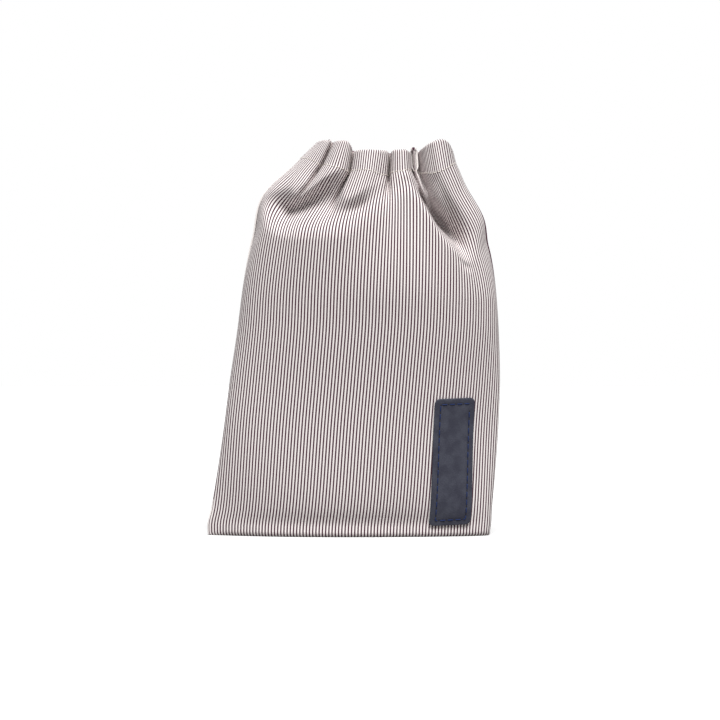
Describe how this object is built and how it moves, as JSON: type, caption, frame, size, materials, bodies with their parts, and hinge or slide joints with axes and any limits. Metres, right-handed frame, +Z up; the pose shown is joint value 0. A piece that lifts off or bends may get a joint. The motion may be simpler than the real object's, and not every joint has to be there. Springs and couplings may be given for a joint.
{
  "type": "gathered-top fabric pouch",
  "caption": "Standing cloth pouch with fine woven stripes, an elasticated gathered top and a small stitched leather patch low on the front.",
  "frame": {"origin": "middle of the outer box on the plane the pouch stands on", "axes": "+Z up, -Y out of the front with the patch, +X towards the patch side"},
  "size_m": [0.1464, 0.055, 0.197],
  "materials": {
    "striped_cloth": "matt woven cotton with fine light and dark stripes",
    "elastic": "knitted elastic braid",
    "patch_leather": "fine grained navy leather, slight sheen"
  },
  "bodies": {
    "root": {"front_panel": "striped_cloth", "back_panel": "striped_cloth", "gathering_elastic": "elastic", "leather_patch": "patch_leather"}
  },
  "joints": []
}
